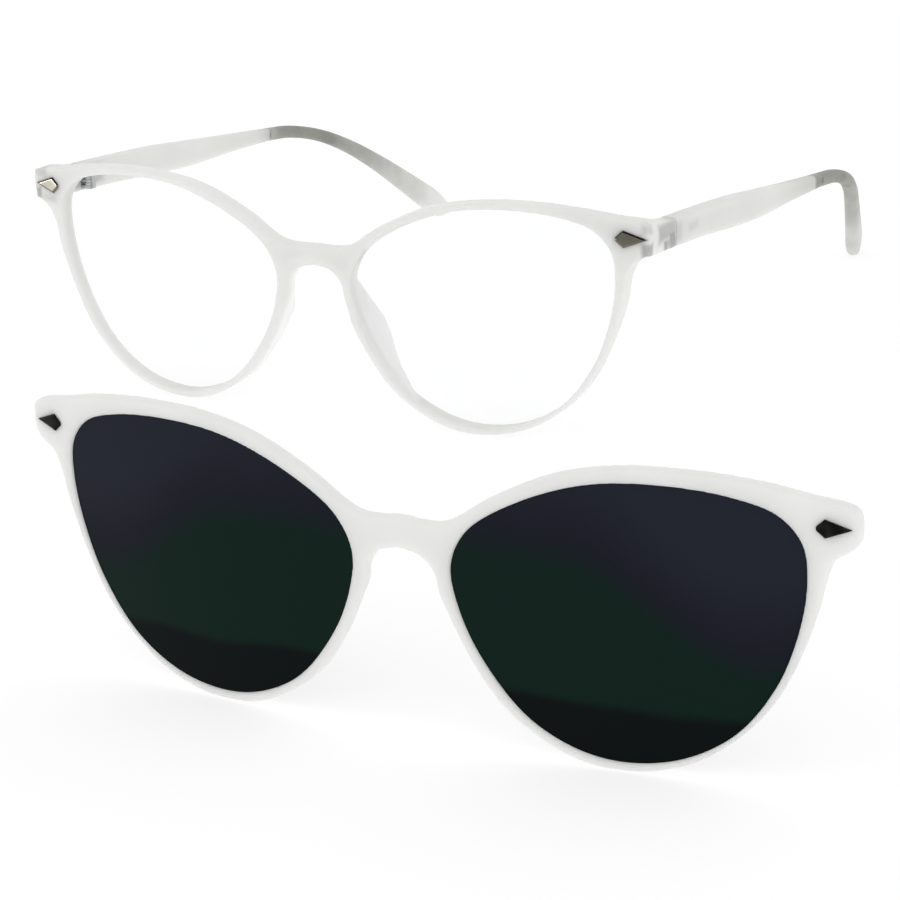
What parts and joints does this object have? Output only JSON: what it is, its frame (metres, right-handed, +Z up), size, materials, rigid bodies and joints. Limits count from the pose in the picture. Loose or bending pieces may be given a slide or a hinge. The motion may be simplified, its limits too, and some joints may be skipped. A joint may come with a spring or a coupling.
{
  "type": "clip-on eyeglasses",
  "caption": "Cat eye eyeglasses with folding temples and a tinted sun clip-on that attaches to the front with magnets.",
  "frame": {"origin": "the middle of the bridge at the height of the lens centres, on the foremost surface of the front, where the nose gap is widest open", "axes": "+X towards the wearer's left, +Y from the front towards the ears, +Z up"},
  "size_m": [0.2266, 0.2641, 0.046],
  "materials": {
    "frosted_plastic": "frosted translucent white",
    "clear_lens": "clear polished",
    "tinted_lens": "dark green-black tint, polished",
    "gunmetal_rivet": "dark satin metal",
    "black_rivet": "gloss black",
    "magnet_plating": "nickel plated",
    "hinge_steel": "satin",
    "screw_steel": "bright",
    "tip_rubber": "satin olive grey"
  },
  "bodies": {
    "front": {"front_frame": "frosted_plastic", "left_lens": "clear_lens", "right_lens": "clear_lens", "left_front_rivet": "gunmetal_rivet", "right_front_rivet": "gunmetal_rivet", "left_front_magnet": "magnet_plating", "right_front_magnet": "magnet_plating", "left_front_hinge": "hinge_steel", "right_front_hinge": "hinge_steel", "left_hinge_screw": "screw_steel", "right_hinge_screw": "screw_steel"},
    "left_temple": {"left_temple": "frosted_plastic", "left_temple_tip": "tip_rubber", "left_temple_hinge": "hinge_steel"},
    "right_temple": {"right_temple": "frosted_plastic", "right_temple_tip": "tip_rubber", "right_temple_hinge": "hinge_steel"},
    "clip_on": {"clip_frame": "frosted_plastic", "clip_left_lens": "tinted_lens", "clip_right_lens": "tinted_lens", "clip_left_rivet": "black_rivet", "clip_right_rivet": "black_rivet", "clip_left_magnet": "magnet_plating", "clip_right_magnet": "magnet_plating"}
  },
  "joints": [
    {"name": "left_temple_fold", "type": "hinge", "parent": "front", "child": "left_temple", "pos_m": [0.063, 0.01805, 0.014], "axis": [0, 0, 1], "range_deg": [0, 87]},
    {"name": "right_temple_fold", "type": "hinge", "parent": "front", "child": "right_temple", "pos_m": [-0.063, 0.01805, 0.014], "axis": [0, 0, -1], "range_deg": [0, 80]},
    {"name": "clip_slide", "type": "slide", "parent": "front", "child": "clip_on", "axis": [-0.6, 0.8, 0], "range_m": [0, 0.15]}
  ]
}
